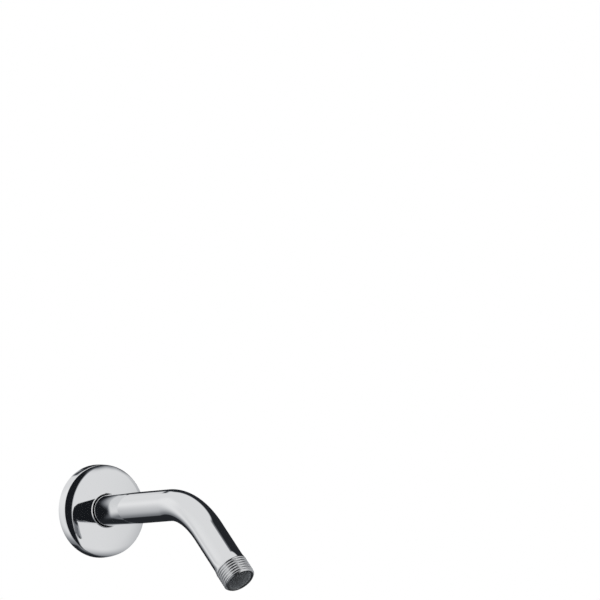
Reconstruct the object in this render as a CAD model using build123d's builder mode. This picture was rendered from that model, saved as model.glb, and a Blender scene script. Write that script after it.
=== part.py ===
from build123d import *
import math
import os

# Wall-mounted shower arm: a bent tube with a pipe thread at each end, and an escutcheon that slides on it.
# Millimetres. The wall is the XZ plane, +Z is up, and the arm stands out of the wall along -Y.
# The origin is where the inlet axis meets the wall.

# Driving dimensions of the arm
tube_diameter = 20.0
tube_wall = 2.2
straight_length = 90.0      # from the wall to the start of the bend
bend_radius = 52.0          # at the tube's centreline
bend_angle = 50.0           # degrees below the horizontal
drop_length = 30.0          # from the end of the bend to the outlet thread

# Driving dimensions of the threaded ends, each a plain blank at the thread's crest
thread_diameter = 20.955    # G 1/2 pipe thread
inlet_thread_length = 15.0
outlet_thread_length = 11.5
inlet_flare_length = 2.0    # hollow curve from the tube up to the thread, behind the rubber ring
outlet_flare_length = 5.0
thread_chamfer = 1.2
bore_chamfer = 0.4

# Driving dimensions of the escutcheon
escutcheon_diameter = 60.0
escutcheon_depth = 9.5      # from the wall to the edge of the hole
escutcheon_wall = 1.5
dome_radius = 150.0         # of the outside of the face
skirt_taper = 0.45          # by which the skirt's radius shrinks towards the face
rim_chamfer = 0.5           # between skirt and face
hole_clearance = 0.15       # around the tube and the thread, which have to pass through
hole_chamfer = 0.4
boss_wall = 1.6             # behind the bottom of the ring groove
boss_setback = 1.0          # from the wall to the boss

# Driving dimensions of the rubber ring, as squeezed between tube and groove
ring_thickness = 2.2
ring_width = 2.6
ring_bevel = 0.6
ring_clearance = 0.03       # to the tube and to the bottom of the groove
ring_side_clearance = 0.2   # to each side of the groove

tube_radius = tube_diameter / 2
bore_radius = tube_radius - tube_wall
thread_radius = thread_diameter / 2
mouth_chamfer = min(thread_chamfer, (thread_radius - bore_radius) / 2)  # at most half the wall
hole_radius = max(tube_radius, thread_radius) + hole_clearance
ring_radius = tube_radius + ring_clearance + ring_thickness / 2
groove_radius = ring_radius + ring_thickness / 2 + ring_clearance
groove_width = ring_width + 2 * ring_side_clearance
boss_radius = groove_radius + boss_wall
boss_length = escutcheon_depth - escutcheon_wall / 2 - boss_setback
cavity_depth = escutcheon_depth - escutcheon_wall
ring_setback = (boss_setback + cavity_depth) / 2
dome_centre = math.sqrt(dome_radius**2 - hole_radius**2) - escutcheon_depth
skirt_radius = escutcheon_diameter / 2
rim_radius = skirt_radius - skirt_taper
rim_tilt = math.degrees(math.asin(rim_radius / dome_radius))


def threaded_end(end_plane, thread_length, flare_length):
    """Turn a thread blank with its flare and chamfers; the plane's x axis points out of the mouth."""
    flare_end = -thread_length
    flare_start = flare_end - flare_length
    with BuildSketch(end_plane) as profile:
        with BuildLine():
            flare = TangentArc((flare_start, tube_radius), (flare_end, thread_radius), tangent=(1, 0))
            Polyline(
                flare @ 1,
                (-mouth_chamfer, thread_radius),
                (0, thread_radius - mouth_chamfer),
                (0, bore_radius + bore_chamfer),
                (-bore_chamfer, bore_radius),
                (flare_start, bore_radius),
                flare @ 0,
            )
        make_face()
    revolve(profile.sketch, axis=Axis(end_plane.origin, end_plane.x_dir))


def face_depth(radius):
    """Distance of the escutcheon's domed face from the wall."""
    return math.sqrt(dome_radius**2 - radius**2) - dome_centre


# Arm: the tube swept from flare to flare, and a threaded end turned on each mouth
with BuildPart() as arm_tube:
    with BuildLine(Plane.YZ) as centreline:
        run = Line((-inlet_flare_length, 0), (-straight_length, 0))
        bend = JernArc(start=run @ 1, tangent=run % 1, radius=bend_radius, arc_size=bend_angle)
        drop = PolarLine(bend @ 1, drop_length - outlet_flare_length, direction=bend % 1)
    with BuildSketch(Plane(origin=run @ 0, z_dir=run % 0)):
        Circle(tube_radius)
        Circle(bore_radius, mode=Mode.SUBTRACT)
    sweep(path=centreline.line)
    inlet_mouth = Plane(origin=(0, inlet_thread_length, 0), x_dir=(0, 1, 0), z_dir=(1, 0, 0))
    threaded_end(inlet_mouth, inlet_thread_length, inlet_flare_length)
    outlet_axis = drop % 1
    outlet_end = drop @ 1 + outlet_axis * (outlet_flare_length + outlet_thread_length)
    outlet_mouth = Plane(origin=outlet_end, x_dir=outlet_axis, z_dir=(1, 0, 0))
    threaded_end(outlet_mouth, outlet_thread_length, outlet_flare_length)

# Escutcheon: a domed cap, hollowed to a cone from the wall side, with a grooved boss behind its hole
with BuildPart() as escutcheon:
    with BuildSketch(Plane.XY) as cap_section:
        with BuildLine():
            face = CenterArc((0, dome_centre), dome_radius, start_angle=-90, arc_size=rim_tilt)
            Polyline(face @ 1, (skirt_radius, 0), (0, 0), face @ 0)
        make_face()
        chamfer(cap_section.vertices().sort_by_distance(face @ 1)[0], rim_chamfer)
        with BuildLine():
            cavity_radius = rim_radius - escutcheon_wall
            Polyline(
                (0, 0),
                (0, -cavity_depth),
                (hole_radius, -cavity_depth),
                (cavity_radius, escutcheon_wall - face_depth(cavity_radius)),
                (skirt_radius - escutcheon_wall, 0),
                close=True,
            )
        make_face(mode=Mode.SUBTRACT)
        with Locations((0, -boss_setback)):
            Rectangle(boss_radius, boss_length, align=(Align.MIN, Align.MAX))
        Rectangle(hole_radius, escutcheon_diameter, align=(Align.MIN, Align.CENTER), mode=Mode.SUBTRACT)
        hole_edge = cap_section.vertices().sort_by_distance((hole_radius, -escutcheon_depth))[0]
        chamfer(hole_edge, hole_chamfer)
        with Locations((0, -ring_setback)):
            Rectangle(groove_radius, groove_width, align=(Align.MIN, Align.CENTER), mode=Mode.SUBTRACT)
    revolve(axis=Axis.Y)

# Rubber ring: seals and grips the tube from the escutcheon's groove
with BuildPart() as grip_ring:
    with BuildSketch(Plane.XY) as ring_section:
        with Locations((ring_radius, -ring_setback)):
            Rectangle(ring_thickness, ring_width)
        chamfer(ring_section.vertices(), ring_bevel)
    revolve(axis=Axis.Y)

arm_tube.part.label = "arm_tube"
escutcheon.part.label = "escutcheon"
grip_ring.part.label = "grip_ring"

os.makedirs("parts", exist_ok=True)
export_step(arm_tube.part, "parts/arm_tube.step")
export_step(escutcheon.part, "parts/escutcheon.step")
export_step(grip_ring.part, "parts/grip_ring.step")
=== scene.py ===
import math
import bpy
import numpy as np
from mathutils import Matrix, Vector


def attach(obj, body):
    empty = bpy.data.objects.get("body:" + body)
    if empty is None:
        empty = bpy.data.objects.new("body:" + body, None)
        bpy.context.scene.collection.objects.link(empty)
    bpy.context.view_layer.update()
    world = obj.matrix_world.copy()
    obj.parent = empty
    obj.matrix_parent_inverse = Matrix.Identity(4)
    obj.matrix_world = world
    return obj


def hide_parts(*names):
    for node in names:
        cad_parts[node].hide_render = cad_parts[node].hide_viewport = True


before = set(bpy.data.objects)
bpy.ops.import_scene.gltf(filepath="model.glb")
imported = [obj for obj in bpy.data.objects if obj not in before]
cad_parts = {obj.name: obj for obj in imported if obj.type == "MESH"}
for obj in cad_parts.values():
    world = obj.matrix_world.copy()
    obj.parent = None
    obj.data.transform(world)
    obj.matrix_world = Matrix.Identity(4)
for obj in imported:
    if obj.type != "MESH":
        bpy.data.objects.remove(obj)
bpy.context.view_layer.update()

# Sizes of the arm in millimetres, as in the part's source
MM = 0.001
STRAIGHT_LENGTH = 90.0
BEND_RADIUS = 52.0
BEND_ANGLE = math.radians(50.0)
DROP_LENGTH = 30.0
TUBE_RADIUS = 10.0
TUBE_WALL = 2.2
BORE_RADIUS = TUBE_RADIUS - TUBE_WALL
BORE_CHAMFER = 0.4
THREAD_RADIUS = 10.4775
INLET_THREAD_LENGTH = 15.0
OUTLET_THREAD_LENGTH = 11.5
THREAD_CHAMFER = 1.2
INLET_FLARE_LENGTH = 2.0
OUTLET_FLARE_LENGTH = 5.0

# Pipe thread of 14 threads to the inch, shallow under its plating as in the photograph
PITCH = 1.814
THREAD_DEPTH = 0.55
THREAD_SHARPNESS = 0.6      # from 0, a wave, to 1, straight flanks
RUNOUT_LENGTH = 0.6 * PITCH

# Sizes of the escutcheon, with the finer curves of its face and the lip round its hole
COVER_RADIUS = 30.0
COVER_DEPTH = 9.5
COVER_WALL = 1.5
DOME_RADIUS = 200.0
SHOULDER_START = 21.0       # radius at which the dome turns into the shoulder
SHOULDER_RADIUS = 45.0
COVER_EDGE_RADIUS = 0.4
SKIRT_RADIUS = 74.0         # of the skirt's bulge
SKIRT_LEAN = math.radians(1.5)
RIM_TAPER = 0.45            # of the solid's skirt, which the inside follows
CAVITY_RADIUS = COVER_RADIUS - RIM_TAPER - COVER_WALL
CAVITY_RIM_DEPTH = 5.73     # from the wall to the inside's outer corner
HOLE_CLEARANCE = 0.15
HOLE_RADIUS = THREAD_RADIUS + HOLE_CLEARANCE
LIP_WIDTH = 0.38
LIP_ANGLE = math.radians(48.0)
LIP_ROUNDING = 0.12
BOSS_SETBACK = 1.0
BOSS_WALL = 1.6

# Sizes of the rubber ring and of its groove in the escutcheon's boss
RING_THICKNESS = 2.2
RING_WIDTH = 2.6
RING_BEVEL = 0.6
RING_CLEARANCE = 0.03
RING_SIDE_CLEARANCE = 0.2
RING_RADIUS = TUBE_RADIUS + RING_CLEARANCE + RING_THICKNESS / 2
RING_SETBACK = (BOSS_SETBACK + COVER_DEPTH - COVER_WALL) / 2
GROOVE_RADIUS = RING_RADIUS + RING_THICKNESS / 2 + RING_CLEARANCE
GROOVE_WIDTH = RING_WIDTH + 2 * RING_SIDE_CLEARANCE
BOSS_RADIUS = GROOVE_RADIUS + BOSS_WALL

# Fineness of the meshes
ARM_SEGMENTS = 192
COVER_SEGMENTS = 256
RING_SEGMENTS = 128
THREAD_ROWS_PER_PITCH = 20
FLARE_ROWS = 17
RUN_ROWS = 20
RUN_ROW_SPAN = (9.0, STRAIGHT_LENGTH - 4.0)     # from the wall
BEND_ROWS = 60
DROP_ROWS = 7
DROP_ROW_SPAN = (3.0, 22.0)     # from the end of the bend
BORE_ROW_SETBACK = 2.0          # from each mouth
SKIRT_STEPS = 10
EDGE_STEPS = 16
SHOULDER_STEPS = 20
DOME_STEPS = 24
LIP_STEPS = 10
SHARP_ANGLE = math.radians(38.0)

# Finishes, as places in the materials of the arm and of the escutcheon; both start with the polished one
POLISHED = 0
THREAD = 1
MOUTH = 2
BORE = 3
COVER_BACK = 1

# Colours of the metals, and the pointiness at which the painted shade in a thread's grooves is darkest and a
# crest has its full colour
CHROME = (0.88, 0.885, 0.89)
# The mouth's grey is a duller turned end, darkened further as painted shade
MOUTH_GREY_AND_SHADE = (0.16, 0.163, 0.166)
# The bore's grey is dull metal, darkened further as painted shade inside the tube
BORE_GREY_AND_SHADE = (0.26, 0.27, 0.28)
GREY_BACK = (0.72, 0.71, 0.70)
GROOVE_SHADE_POINTINESS = 0.46
CREST_POINTINESS = 0.53

# Camera, worked out from the object's outline in the photograph: pixels, millimetres and degrees
IMAGE_SIZE = 600
FOCAL_PIXELS = 5050.2
SENSOR_WIDTH = 36.0
AIM_POINT = (0.0, -45.0, -12.0)
AIM_PIXEL = (137.96, 526.74)
CAMERA_AZIMUTH = -30.16
CAMERA_ELEVATION = 3.53
CAMERA_ROLL = -10.45
CAMERA_DISTANCE = 3215.2

# Studio as the polished metal sees it: soft-edged panels and dark gaps in a bright tent, painted in this
# order. Azimuth 0 looks straight out from the wall and grows towards the right; angles are in degrees.
# Each: name, shape, azimuth, height, half width, half height, slant, softness, brightness.
# The slant is by how much a panel rises for each degree of azimuth.
STUDIO_BASE = 0.775
STUDIO = (
    ("floor shade", "box", 0, -70, 145, 69, 0.0, 39, 0.19),
    ("floor behind", "box", 180, -72, 75, 27, 0.0, 8, 0.05),
    ("left wall", "box", -79, 7, 48, 25, 0.0, 20, 0.845),
    ("left strip", "box", -149, 6, 12, 36, 0.0, 8, 0.86),
    ("front opening", "round", 0, 0, 45.5, 40, 0.0, 4, 0.011),
    ("round softbox", "round", 33, -14.5, 27.5, 37.5, 0.0, 1.0, 0.77),
    ("right gap", "box", 100, 28, 58, 24.5, -0.24, 3.2, 0.020),
    ("upper gap", "box", 39, 30, 9.5, 9.5, 0.0, 5, 0.012),
    ("shade behind", "box", 174.5, -20, 34.5, 27, 0.0, 13, 0.20),
    ("gap behind", "box", 172, -22, 22, 15.5, 0.0, 2.5, 0.020),
    ("spot behind", "box", 162, 30.5, 8, 3, 0.42, 2.8, 0.012),
    ("strip behind", "box", 149.5, 8, 5.5, 14, 0.0, 2, 0.020),
    ("right panel", "box", 38, -9, 12.5, 29, 0.0, 6, 0.77),
    ("front gap", "box", 15.5, -47.5, 48.5, 17.5, 0.0, 8, 0.020),
    ("low right panel", "box", 75.5, -34, 28, 31.5, 0.0, 25, 0.48),
)

# The studio's darker tones lean to blue, as in the photograph: powers of the brightness
RED_POWER = 1.025
BLUE_POWER = 0.957

# Plain light on what isn't polished, floor and lamps, in millimetres and watts
PLAIN_COLOUR = (0.9, 0.92, 0.95, 1)
PLAIN_STRENGTH = 0.8
FLOOR_RADIUS = 2000.0
FLOOR_HEIGHT = -350.0
FLOOR_SEGMENTS = 128
FLOOR_COLOUR = (0.86, 0.87, 0.88, 1)
FLOOR_LIFT = 0.25           # light added for the camera, which makes the floor paler
LAMP_DIAMETER = 1600.0
KEY_PLACE = (-1200.0, -1400.0, 1600.0)
KEY_POWER = 60.0
FILL_PLACE = (1600.0, -800.0, 1000.0)
FILL_POWER = 25.0


def closed_grid(name, points, finish):
    """Mesh of a grid of points in millimetres that closes on itself both ways, with a finish for each row."""
    rows, columns, _ = points.shape
    i, j = np.meshgrid(np.arange(rows), np.arange(columns), indexing="ij")
    next_i = (i + 1) % rows
    next_j = (j + 1) % columns
    corners = (i * columns + j, i * columns + next_j, next_i * columns + next_j, next_i * columns + j)
    faces = np.stack([c.ravel() for c in corners], axis=1)
    mesh = bpy.data.meshes.new(name)
    mesh.from_pydata((points.reshape(-1, 3) * MM).tolist(), [], faces.tolist())
    mesh.polygons.foreach_set("material_index", np.repeat(finish, columns).astype(np.int32))
    mesh.shade_smooth()
    mesh.set_sharp_from_angle(angle=SHARP_ANGLE)
    piece = bpy.data.objects.new(name, mesh)
    bpy.context.scene.collection.objects.link(piece)
    return piece


def around(segments):
    """Angles of the points round one ring."""
    return np.arange(segments) * (2 * math.pi / segments)


def arc(centre, radius, start, stop, steps):
    """Profile points (radius, y) along an arc; an angle is the tilt of its outward side from straight out."""
    tilts = np.linspace(start, stop, steps + 1)
    return [(centre[0] + radius * math.sin(t), centre[1] - radius * math.cos(t)) for t in tilts]


def arc_point(centre, radius, tilt):
    """Single profile point of an arc."""
    return arc(centre, radius, tilt, tilt, 0)[0]


def revolved(name, profile, segments, finish):
    """Closed profile of (radius, y) points turned round the inlet axis."""
    angle = around(segments)
    radius = np.array([p[0] for p in profile])[:, None]
    height = np.array([p[1] for p in profile])[:, None]
    x = radius * np.cos(angle)
    z = radius * np.sin(angle)
    y = np.broadcast_to(height, x.shape)
    return closed_grid(name, np.stack([x, y, z], axis=2), finish)


def on_arm(distance, radius):
    """Points at a radius from the centreline, for rows at a distance from the wall."""
    angle = around(ARM_SEGMENTS)
    turned = np.clip((distance - STRAIGHT_LENGTH) / BEND_RADIUS, 0, BEND_ANGLE)
    straight = distance - STRAIGHT_LENGTH - turned * BEND_RADIUS
    y = -STRAIGHT_LENGTH - BEND_RADIUS * np.sin(turned) - straight * np.cos(turned)
    z = -BEND_RADIUS * (1 - np.cos(turned)) - straight * np.sin(turned)
    side = radius * np.cos(angle)
    up = radius * np.sin(angle)
    out_y = y[:, None] - up * np.sin(turned)[:, None]
    out_z = z[:, None] + up * np.cos(turned)[:, None]
    return np.stack([side, out_y, out_z], axis=2)


def thread_radius(distance, fade):
    """Radius of a right-hand thread for rows at a distance along the arm; fade runs the groove out."""
    turn = around(ARM_SEGMENTS) / (2 * math.pi)
    phase = distance[:, None] / PITCH - turn
    from_crest = 2 * np.abs(phase - np.round(phase))
    rounded = (1 - np.cos(math.pi * from_crest)) / 2
    depth = THREAD_DEPTH * (rounded + THREAD_SHARPNESS * (from_crest - rounded))
    return THREAD_RADIUS - depth * fade[:, None]


def threaded_rows(length, flare_length):
    """Distances from the mouth of the rows of a thread and of the flare that joins it to the tube."""
    count = int(round(length / PITCH * THREAD_ROWS_PER_PITCH))
    thread = np.linspace(0, length, count)
    flare = np.linspace(length, length + flare_length, FLARE_ROWS)[1:]
    return np.concatenate([thread, flare])


def outer_radius(distance, from_mouth, length, flare_length):
    """Radius of the arm's outside near a mouth: end chamfer, thread and the hollow flare to the tube."""
    fade = np.clip((length - from_mouth) / RUNOUT_LENGTH, 0, 1)
    radius = thread_radius(distance, fade)
    chamfer = (THREAD_RADIUS - THREAD_CHAMFER + from_mouth)[:, None]
    left = np.clip((length + flare_length - from_mouth) / flare_length, 0, 1)
    flare = TUBE_RADIUS + (THREAD_RADIUS - TUBE_RADIUS) * left ** 2
    return np.minimum(np.minimum(radius, chamfer), flare[:, None])


def build_arm():
    """Bent tube with a thread at each end, as one closed skin: outside to the outlet, bore back again."""
    inlet = -INLET_THREAD_LENGTH
    bend_end = STRAIGHT_LENGTH + BEND_RADIUS * BEND_ANGLE
    outlet = bend_end + DROP_LENGTH + OUTLET_THREAD_LENGTH
    distances, radii, finishes = [], [], []

    def add(distance, radius, finish):
        distances.append(distance)
        radii.append(np.broadcast_to(radius, (len(distance), ARM_SEGMENTS)))
        finishes.append(np.broadcast_to(finish, len(distance)))

    # Outside: inlet thread, run, bend, drop and outlet thread, whose last row starts the flat end face
    rows = threaded_rows(INLET_THREAD_LENGTH, INLET_FLARE_LENGTH)
    finish = np.where(rows < INLET_THREAD_LENGTH, THREAD, POLISHED)
    add(inlet + rows, outer_radius(inlet + rows, rows, INLET_THREAD_LENGTH, INLET_FLARE_LENGTH), finish)
    bend = np.linspace(STRAIGHT_LENGTH, bend_end, BEND_ROWS)
    add(np.linspace(*RUN_ROW_SPAN, RUN_ROWS), TUBE_RADIUS, POLISHED)
    add(bend, TUBE_RADIUS, POLISHED)
    add(bend_end + np.linspace(*DROP_ROW_SPAN, DROP_ROWS), TUBE_RADIUS, POLISHED)
    rows = threaded_rows(OUTLET_THREAD_LENGTH, OUTLET_FLARE_LENGTH)[::-1]
    finish = np.where(rows <= OUTLET_THREAD_LENGTH, THREAD, POLISHED)
    finish = np.where(rows <= 0, MOUTH, finish)
    add(outlet - rows, outer_radius(outlet - rows, rows, OUTLET_THREAD_LENGTH, OUTLET_FLARE_LENGTH), finish)

    # Bore, with a chamfer at each mouth
    add(np.array([outlet]), BORE_RADIUS + BORE_CHAMFER, MOUTH)
    add(np.array([outlet - BORE_CHAMFER, outlet - BORE_ROW_SETBACK]), BORE_RADIUS, BORE)
    add(bend[::-1], BORE_RADIUS, BORE)
    add(np.array([STRAIGHT_LENGTH / 2, inlet + BORE_ROW_SETBACK]), BORE_RADIUS, BORE)
    add(np.array([inlet + BORE_CHAMFER]), BORE_RADIUS, MOUTH)
    add(np.array([inlet]), BORE_RADIUS + BORE_CHAMFER, MOUTH)
    points = on_arm(np.concatenate(distances), np.concatenate(radii))
    return closed_grid("shower_arm", points, np.concatenate(finishes))


def cap_section():
    """Points (radius, y) of the cap's outside from the wall over skirt, edge and shoulder to the dome."""
    dome_centre = (0.0, math.sqrt(DOME_RADIUS ** 2 - HOLE_RADIUS ** 2) - COVER_DEPTH)
    dome_tilt = math.asin(SHOULDER_START / DOME_RADIUS)
    foot_tilt = math.pi / 2 - SKIRT_LEAN
    shoulder_centre = np.array(arc_point(dome_centre, DOME_RADIUS - SHOULDER_RADIUS, dome_tilt))
    skirt_centre = np.array(arc_point((COVER_RADIUS, 0.0), -SKIRT_RADIUS, foot_tilt))
    # The edge touches shoulder and skirt from inside, so its centre is where two smaller arcs cross
    between = skirt_centre - shoulder_centre
    apart = float(np.hypot(*between))
    near = SHOULDER_RADIUS - COVER_EDGE_RADIUS
    far = SKIRT_RADIUS - COVER_EDGE_RADIUS
    along = (near ** 2 - far ** 2 + apart ** 2) / (2 * apart)
    aside = math.sqrt(near ** 2 - along ** 2)
    across = np.array([-between[1], between[0]])
    edge_centre = shoulder_centre + (along * between + aside * across) / apart
    edge_tilt = math.asin((edge_centre[0] - shoulder_centre[0]) / near)
    skirt_tilt = math.asin((edge_centre[0] - skirt_centre[0]) / far)
    points = arc(skirt_centre, SKIRT_RADIUS, foot_tilt, skirt_tilt, SKIRT_STEPS)
    points += arc(edge_centre, COVER_EDGE_RADIUS, skirt_tilt, edge_tilt, EDGE_STEPS)[1:]
    points += arc(shoulder_centre, SHOULDER_RADIUS, edge_tilt, dome_tilt, SHOULDER_STEPS)[1:]
    return points, dome_centre, dome_tilt


def build_cover():
    """Domed round cap, open to the wall, with a grooved boss behind its hole."""
    outside, dome_centre, dome_tilt = cap_section()
    # Low raised lip round the hole: a sloping side up from the dome, then a rounded top down into the hole
    lip_centre_radius = HOLE_RADIUS + LIP_ROUNDING
    lip_foot_radius = lip_centre_radius + LIP_ROUNDING * math.sin(LIP_ANGLE) + LIP_WIDTH
    foot_tilt = math.asin(lip_foot_radius / DOME_RADIUS)
    foot_y = arc_point(dome_centre, DOME_RADIUS, foot_tilt)[1]
    lip_centre_y = foot_y - LIP_WIDTH * math.tan(LIP_ANGLE) + LIP_ROUNDING * math.cos(LIP_ANGLE)
    lip_centre = (lip_centre_radius, lip_centre_y)
    profile = outside + arc(dome_centre, DOME_RADIUS, dome_tilt, foot_tilt, DOME_STEPS)[1:]
    profile += arc(lip_centre, LIP_ROUNDING, LIP_ANGLE, -math.pi / 2, LIP_STEPS)
    polished = len(profile)
    # Hole with the ring's groove, and the end of the boss
    groove_front = -(RING_SETBACK + GROOVE_WIDTH / 2)
    groove_back = -(RING_SETBACK - GROOVE_WIDTH / 2)
    boss_back = -BOSS_SETBACK
    profile += [(HOLE_RADIUS, groove_front), (GROOVE_RADIUS, groove_front), (GROOVE_RADIUS, groove_back)]
    profile += [(HOLE_RADIUS, groove_back), (HOLE_RADIUS, boss_back), (BOSS_RADIUS, boss_back)]
    # Conical inside, from the boss to the foot of the skirt
    cone_start = (HOLE_RADIUS, COVER_WALL - COVER_DEPTH)
    cone_end = (CAVITY_RADIUS, -CAVITY_RIM_DEPTH)
    share = (BOSS_RADIUS - cone_start[0]) / (cone_end[0] - cone_start[0])
    profile += [(BOSS_RADIUS, cone_start[1] + share * (cone_end[1] - cone_start[1])), cone_end]
    profile += [(COVER_RADIUS - COVER_WALL, 0.0)]
    finish = np.where(np.arange(len(profile)) < polished, POLISHED, COVER_BACK)
    return revolved("escutcheon_cover", profile, COVER_SEGMENTS, finish)


def build_ring():
    """Rubber ring with bevelled corners in the escutcheon's groove."""
    profile = []
    for side, end in ((1, 1), (1, -1), (-1, -1), (-1, 1)):
        radius = RING_RADIUS + side * RING_THICKNESS / 2
        y = -RING_SETBACK + end * RING_WIDTH / 2
        bevels = [(radius - side * RING_BEVEL, y), (radius, y - end * RING_BEVEL)]
        profile += bevels if side == end else bevels[::-1]
    return revolved("rubber_ring", profile, RING_SEGMENTS, np.zeros(len(profile)))


def add_node(tree, kind, settings=None, **inputs):
    """Shader node with its settings, and with each input linked or set.

    In an input's name an underscore stands for a space, and i with a number picks an input by its place.
    """
    node = tree.nodes.new(kind)
    for name, value in (settings or {}).items():
        setattr(node, name, value)
    for name, value in inputs.items():
        key = int(name[1:]) if name[1:].isdigit() else name.replace("_", " ")
        if isinstance(value, bpy.types.NodeSocket):
            tree.links.new(value, node.inputs[key])
        else:
            node.inputs[key].default_value = value
    return node


def maths(tree, operation, *values):
    """Output of a maths node."""
    inputs = {"i%d" % k: value for k, value in enumerate(values)}
    return add_node(tree, "ShaderNodeMath", {"operation": operation}, **inputs).outputs[0]


def soft_step(tree, value, full, none):
    """One where value is at full, nought where it is at none, smooth between."""
    settings = {"interpolation_type": "SMOOTHSTEP"}
    step = add_node(tree, "ShaderNodeMapRange", settings, Value=value, From_Min=none, From_Max=full)
    return step.outputs[0]


def empty_material(name):
    """New material with no nodes but its output."""
    material = bpy.data.materials.new(name)
    material.use_nodes = True
    tree = material.node_tree
    tree.nodes.clear()
    return material, tree, tree.nodes.new("ShaderNodeOutputMaterial")


def metal(name, colour, roughness, spread, grain, relief, metallic=1.0, groove=1.0):
    """Metal whose roughness wanders by a spread, with a fine grain, and with painted shade that darkens its
    hollows by groove.
    """
    material, tree, output = empty_material(name)
    place = add_node(tree, "ShaderNodeTexCoord").outputs["Object"]
    cloud = add_node(tree, "ShaderNodeTexNoise", Vector=place, Scale=90.0, Detail=4.0, Roughness=0.6)
    wander = add_node(
        tree, "ShaderNodeMapRange", Value=cloud.outputs["Fac"],
        To_Min=roughness - spread, To_Max=roughness + spread,
    )
    fine = add_node(tree, "ShaderNodeTexNoise", Vector=place, Scale=grain, Detail=3.0, Roughness=0.5)
    bump = add_node(tree, "ShaderNodeBump", Strength=1.0, Distance=relief, Height=fine.outputs["Fac"])
    tone = (*colour, 1.0)
    # Painted shade: where pointiness is low, in the hollows of a thread's grooves, the colour darkens
    if groove < 1.0:
        pointiness = add_node(tree, "ShaderNodeNewGeometry").outputs["Pointiness"]
        crest = soft_step(tree, pointiness, CREST_POINTINESS, GROOVE_SHADE_POINTINESS)
        ramp = add_node(tree, "ShaderNodeValToRGB", Fac=crest)
        ramp.color_ramp.elements[0].color = (*[groove * c for c in colour], 1.0)
        ramp.color_ramp.elements[1].color = tone
        tone = ramp.outputs["Color"]
    shader = add_node(
        tree, "ShaderNodeBsdfPrincipled", Base_Color=tone, Metallic=metallic,
        Roughness=wander.outputs[0], Normal=bump.outputs[0],
    )
    tree.links.new(shader.outputs[0], output.inputs["Surface"])
    return material


def rubber(name):
    """Black rubber with a dusty, slightly uneven skin."""
    material, tree, output = empty_material(name)
    place = add_node(tree, "ShaderNodeTexCoord").outputs["Object"]
    cloud = add_node(tree, "ShaderNodeTexNoise", Vector=place, Scale=600.0, Detail=5.0)
    colour = add_node(tree, "ShaderNodeValToRGB", Fac=cloud.outputs["Fac"])
    colour.color_ramp.elements[0].color = (0.012, 0.012, 0.013, 1)
    colour.color_ramp.elements[1].color = (0.035, 0.035, 0.036, 1)
    bump = add_node(tree, "ShaderNodeBump", Strength=1.0, Distance=0.00002, Height=cloud.outputs["Fac"])
    shader = add_node(
        tree, "ShaderNodeBsdfPrincipled", Base_Color=colour.outputs["Color"], Roughness=0.65,
        Normal=bump.outputs[0],
    )
    tree.links.new(shader.outputs[0], output.inputs["Surface"])
    return material


def panel_cover(tree, azimuth, height, shape, centre, middle, half_width, half_height, slant, soft):
    """How far a studio panel covers a direction: one inside it, nought outside, smooth between."""
    aside = maths(tree, "WRAP", maths(tree, "SUBTRACT", azimuth, centre), 180.0, -180.0)
    above = maths(tree, "SUBTRACT", height, maths(tree, "MULTIPLY_ADD", aside, slant, middle))
    if shape == "round":
        mean = (half_width + half_height) / 2
        across = maths(tree, "MULTIPLY", aside, mean / half_width)
        upright = maths(tree, "MULTIPLY", above, mean / half_height)
        square = maths(tree, "MULTIPLY_ADD", across, across, maths(tree, "MULTIPLY", upright, upright))
        return soft_step(tree, maths(tree, "SQRT", square), mean - soft, mean + soft)
    across = soft_step(tree, maths(tree, "ABSOLUTE", aside), half_width - soft, half_width + soft)
    upright = soft_step(tree, maths(tree, "ABSOLUTE", above), half_height - soft, half_height + soft)
    return maths(tree, "MULTIPLY", across, upright)


def studio_brightness(tree):
    """Brightness of the studio in the direction of a ray, with each panel painted over those before it."""
    way = add_node(tree, "ShaderNodeTexCoord").outputs["Generated"]
    x, y, z = add_node(tree, "ShaderNodeSeparateXYZ", Vector=way).outputs
    azimuth = maths(tree, "DEGREES", maths(tree, "ARCTAN2", x, maths(tree, "MULTIPLY", y, -1.0)))
    height = maths(tree, "DEGREES", maths(tree, "ARCSINE", z))
    level = STUDIO_BASE
    for name, *form, bright in STUDIO:
        inside = panel_cover(tree, azimuth, height, *form)
        blend = add_node(tree, "ShaderNodeMix", {"data_type": "FLOAT"}, Factor=inside, A=level, B=bright)
        blend.label = name
        level = blend.outputs["Result"]
    return level


def studio_world():
    """White to the camera, a studio of panels and gaps to the polished metal, plain light otherwise."""
    world = bpy.data.worlds.new("studio")
    world.use_nodes = True
    tree = world.node_tree
    tree.nodes.clear()
    level = studio_brightness(tree)
    red = maths(tree, "POWER", level, RED_POWER)
    blue = maths(tree, "POWER", level, BLUE_POWER)
    tint = add_node(tree, "ShaderNodeCombineColor", Red=red, Green=level, Blue=blue)
    mirrored = add_node(tree, "ShaderNodeBackground", Color=tint.outputs[0], Strength=1.0)
    plain = add_node(tree, "ShaderNodeBackground", Color=PLAIN_COLOUR, Strength=PLAIN_STRENGTH)
    white = add_node(tree, "ShaderNodeBackground", Color=(1, 1, 1, 1), Strength=1.0)
    path = add_node(tree, "ShaderNodeLightPath").outputs
    shiny = maths(tree, "MAXIMUM", path["Is Glossy Ray"], path["Is Transmission Ray"])
    light = add_node(tree, "ShaderNodeMixShader", Fac=shiny, i1=plain.outputs[0], i2=mirrored.outputs[0])
    seen = add_node(
        tree, "ShaderNodeMixShader", Fac=path["Is Camera Ray"], i1=light.outputs[0], i2=white.outputs[0]
    )
    output = add_node(tree, "ShaderNodeOutputWorld", Surface=seen.outputs[0])
    output.is_active_output = True
    bpy.context.scene.world = world


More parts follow.
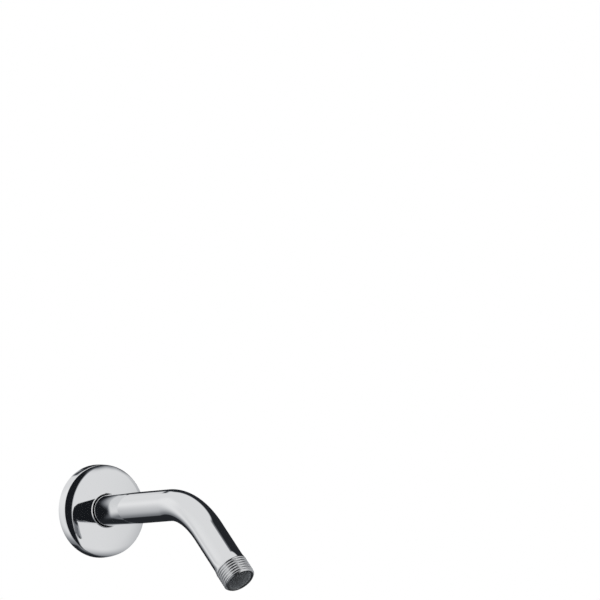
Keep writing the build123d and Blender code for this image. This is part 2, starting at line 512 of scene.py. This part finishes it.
def floor_material():
    """Matt white, a little paler to the camera, and clear from below."""
    material, tree, output = empty_material("floor_white")
    path = add_node(tree, "ShaderNodeLightPath").outputs
    lift = maths(tree, "MULTIPLY", path["Is Camera Ray"], FLOOR_LIFT)
    matt = add_node(tree, "ShaderNodeBsdfDiffuse", Color=FLOOR_COLOUR)
    glow = add_node(tree, "ShaderNodeEmission", Color=(1, 1, 1, 1), Strength=lift)
    lit = add_node(tree, "ShaderNodeAddShader", i0=matt.outputs[0], i1=glow.outputs[0])
    clear = add_node(tree, "ShaderNodeBsdfTransparent")
    back = add_node(tree, "ShaderNodeNewGeometry").outputs["Backfacing"]
    surface = add_node(tree, "ShaderNodeMixShader", Fac=back, i1=lit.outputs[0], i2=clear.outputs[0])
    tree.links.new(surface.outputs[0], output.inputs["Surface"])
    return material


def pale_floor():
    """Pale disc far below that takes a soft shadow; seen only from above, and not by the polished metal."""
    rim = [Vector((math.cos(a), math.sin(a), 0)) * FLOOR_RADIUS for a in around(FLOOR_SEGMENTS)]
    corners = [(point + Vector((0, 0, FLOOR_HEIGHT))) * MM for point in rim]
    mesh = bpy.data.meshes.new("floor")
    mesh.from_pydata(corners, [], [list(range(FLOOR_SEGMENTS))])
    floor = bpy.data.objects.new("floor", mesh)
    bpy.context.scene.collection.objects.link(floor)
    floor.visible_glossy = False
    floor.data.materials.append(floor_material())


def soft_lamp(name, place, power):
    """Large soft lamp aimed at the object, kept out of the mirror reflections."""
    data = bpy.data.lights.new(name, "AREA")
    data.shape = "DISK"
    data.size = LAMP_DIAMETER * MM
    data.energy = power
    lamp = bpy.data.objects.new(name, data)
    lamp.location = Vector(place) * MM
    lamp.rotation_euler = (Vector(AIM_POINT) - Vector(place)).to_track_quat("-Z", "Y").to_euler()
    lamp.visible_glossy = False
    lamp.visible_camera = False
    bpy.context.scene.collection.objects.link(lamp)


def camera_from_photo():
    """Long-lens camera that puts the object where the photograph has it."""
    data = bpy.data.cameras.new("camera")
    data.sensor_width = SENSOR_WIDTH
    data.lens = FOCAL_PIXELS * SENSOR_WIDTH / IMAGE_SIZE
    azimuth = math.radians(CAMERA_AZIMUTH)
    elevation = math.radians(CAMERA_ELEVATION)
    back = Vector((
        math.sin(azimuth) * math.cos(elevation),
        -math.cos(azimuth) * math.cos(elevation),
        math.sin(elevation),
    ))
    level_right = Vector((0, 0, 1)).cross(back).normalized()
    level_up = back.cross(level_right)
    roll = math.radians(CAMERA_ROLL)
    right = level_right * math.cos(roll) + level_up * math.sin(roll)
    up = level_up * math.cos(roll) - level_right * math.sin(roll)
    # The aim point is off the picture's centre, so the camera swings until it lies on its pixel
    centre = IMAGE_SIZE / 2
    sight = Vector(((AIM_PIXEL[0] - centre) / FOCAL_PIXELS, (centre - AIM_PIXEL[1]) / FOCAL_PIXELS, -1))
    swing = Vector((0, 0, -1)).rotation_difference(sight.normalized()).to_matrix()
    turn = (swing @ Matrix((right, up, back))).transposed()
    place = (Vector(AIM_POINT) + back * CAMERA_DISTANCE) * MM
    camera = bpy.data.objects.new("camera", data)
    camera.matrix_world = Matrix.Translation(place) @ turn.to_4x4()
    bpy.context.scene.collection.objects.link(camera)
    bpy.context.scene.camera = camera


# Arm: materials in the order of its finishes
arm = build_arm()
for finish in (
    metal("polished_chrome", CHROME, roughness=0.04, spread=0.015, grain=900.0, relief=0.0000002),
    # Thread: rougher chrome, with painted shade in its grooves
    metal("thread_chrome_groove_shade", CHROME, roughness=0.24, spread=0.04, grain=1500.0, relief=0.000002, groove=0.65),
    # Mouth: duller metal, darkened further as painted shade
    metal("mouth_chrome_painted_shade", MOUTH_GREY_AND_SHADE, roughness=0.22, spread=0.05, grain=1500.0, relief=0.000002),
    # Bore: dull metal, darkened further as painted shade
    metal("bore_metal_painted_shade", BORE_GREY_AND_SHADE, roughness=0.38, spread=0.06, grain=700.0, relief=0.000004, metallic=0.4),
):
    arm.data.materials.append(finish)
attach(arm, "arm")
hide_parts("arm_tube")

# Escutcheon: polished outside, grey back
cover = build_cover()
for finish in (
    metal("escutcheon_chrome", CHROME, roughness=0.04, spread=0.015, grain=800.0, relief=0.0000002),
    metal("escutcheon_back", GREY_BACK, roughness=0.35, spread=0.10, grain=700.0, relief=0.00001),
):
    cover.data.materials.append(finish)
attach(cover, "cover")
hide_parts("escutcheon")

# Rubber ring
ring = build_ring()
ring.data.materials.append(rubber("black_rubber"))
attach(ring, "ring")
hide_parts("grip_ring")

# Camera, studio, floor and lamps
camera_from_photo()
studio_world()
pale_floor()
soft_lamp("key", KEY_PLACE, KEY_POWER)
soft_lamp("fill", FILL_PLACE, FILL_POWER)
bpy.context.scene.view_settings.view_transform = "Standard"
